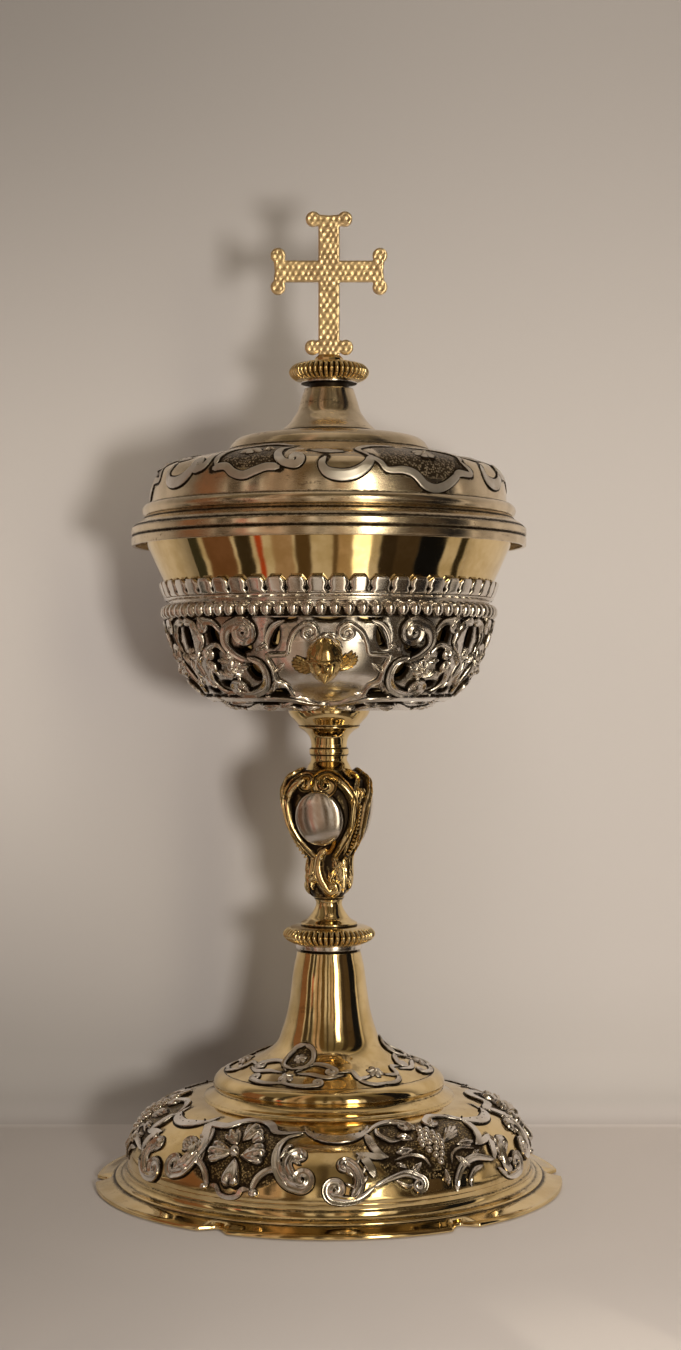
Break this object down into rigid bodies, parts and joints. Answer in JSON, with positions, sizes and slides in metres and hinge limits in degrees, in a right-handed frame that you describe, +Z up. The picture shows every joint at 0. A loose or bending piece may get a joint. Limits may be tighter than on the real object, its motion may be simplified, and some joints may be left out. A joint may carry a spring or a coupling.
{
  "type": "ciborium",
  "caption": "Covered cup on a tall knopped stem and domed foot, with a pierced basket round the cup and a lift-off lid with a flat cross.",
  "frame": {"origin": "centre of the foot's underside, on the stem's axis", "axes": "+Z up the stem, -Y the side with the cherub under the cup's middle, +X to that view's right; the cross lies in the XZ plane"},
  "size_m": [0.1536, 0.1536, 0.32],
  "materials": {
    "gilt": "polished gilding",
    "pale_gilt": "worn, paler gilding",
    "silver": "polished silver, dark recesses",
    "steel": "plain steel"
  },
  "bodies": {
    "stand": {"foot_flange": "gilt", "foot_step": "gilt", "foot_dome": "gilt", "foot_cone": "gilt", "lower_collar": "gilt", "lower_neck": "gilt", "knop_body": "gilt", "upper_neck": "gilt", "calyx": "gilt", "cup_bowl": "gilt", "cherub_1": "pale_gilt", "cherub_2": "pale_gilt", "cherub_3": "pale_gilt", "spacer_ring": "silver", "knop_boss_1": "silver", "knop_boss_2": "silver", "knop_boss_3": "silver", "basket": "silver", "pearl_band": "silver", "crest_band": "silver", "cup_boss": "steel", "tie_rod": "steel", "foot_washer": "steel", "foot_nut": "steel"},
    "lid": {"lid_rim": "pale_gilt", "lid_bezel": "gilt", "lid_dome": "pale_gilt", "lid_crown": "pale_gilt", "lid_ring": "silver", "lid_collar": "gilt", "cross_seat": "gilt", "cross": "pale_gilt", "cross_stud": "steel", "lid_washer": "steel", "lid_nut": "steel"}
  },
  "joints": [
    {"name": "lid_lift", "type": "slide", "parent": "stand", "child": "lid", "axis": [0, 0, 1], "range_m": [0, 0.12]}
  ]
}
